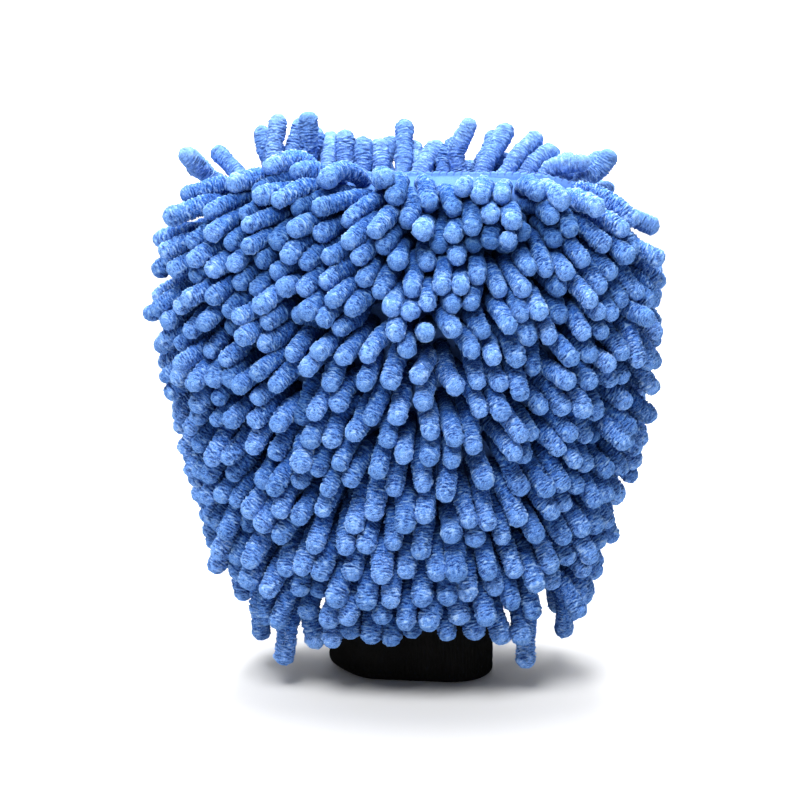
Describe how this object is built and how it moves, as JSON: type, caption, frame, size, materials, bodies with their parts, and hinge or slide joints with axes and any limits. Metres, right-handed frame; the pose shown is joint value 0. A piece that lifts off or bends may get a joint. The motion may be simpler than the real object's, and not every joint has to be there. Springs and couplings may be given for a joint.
{
  "type": "wash mitt",
  "caption": "Chenille wash mitt of two pile panels sewn face to face round a lined hand pocket, with a ribbed elastic cuff at its open end.",
  "frame": {"origin": "centre of the cuff's foot, on the surface that the mitt stands on", "axes": "+Z from the cuff towards the top seam, X across the palm, -Y out of the front panel"},
  "size_m": [0.2186, 0.131, 0.2357],
  "materials": {
    "chenille": "soft velvety pile",
    "backing_cloth": "smooth brushed knit",
    "lining_cloth": "thin plain weave",
    "seam_cloth": "folded knit edge",
    "seam_thread": "twisted thread",
    "binding_tape": "matt woven tape",
    "black_thread": "twisted thread",
    "rib_knit": "matt ribbed knit",
    "elastic_band": "matt, covered with thread"
  },
  "bodies": {
    "mitt": {"front_backing": "backing_cloth", "back_backing": "backing_cloth", "front_lining": "lining_cloth", "back_lining": "lining_cloth", "perimeter_seam": "seam_cloth", "perimeter_thread": "seam_thread", "hem_binding": "binding_tape", "binding_thread": "black_thread", "front_row_01": "chenille", "front_row_02": "chenille", "front_row_03": "chenille", "front_row_04": "chenille", "front_row_05": "chenille", "front_row_06": "chenille", "front_row_07": "chenille", "front_row_08": "chenille", "front_row_09": "chenille", "front_row_10": "chenille", "front_row_11": "chenille", "front_row_12": "chenille", "front_row_13": "chenille", "front_row_14": "chenille", "front_row_15": "chenille", "front_row_16": "chenille", "front_row_17": "chenille", "front_row_18": "chenille", "front_row_19": "chenille", "back_row_01": "chenille", "back_row_02": "chenille", "back_row_03": "chenille", "back_row_04": "chenille", "back_row_05": "chenille", "back_row_06": "chenille", "back_row_07": "chenille", "back_row_08": "chenille", "back_row_09": "chenille", "back_row_10": "chenille", "back_row_11": "chenille", "back_row_12": "chenille", "back_row_13": "chenille", "back_row_14": "chenille", "back_row_15": "chenille", "back_row_16": "chenille", "back_row_17": "chenille", "back_row_18": "chenille", "back_row_19": "chenille"},
    "cuff": {"cuff_knit": "rib_knit", "cuff_elastic": "elastic_band", "cuff_thread": "black_thread"}
  },
  "joints": [
    {"name": "cuff_fold", "type": "hinge", "parent": "mitt", "child": "cuff", "pos_m": [0, 0, 0.042], "axis": [1, 0, 0], "range_deg": [-30, 30], "deforming": ["hem_binding", "binding_thread"]}
  ]
}
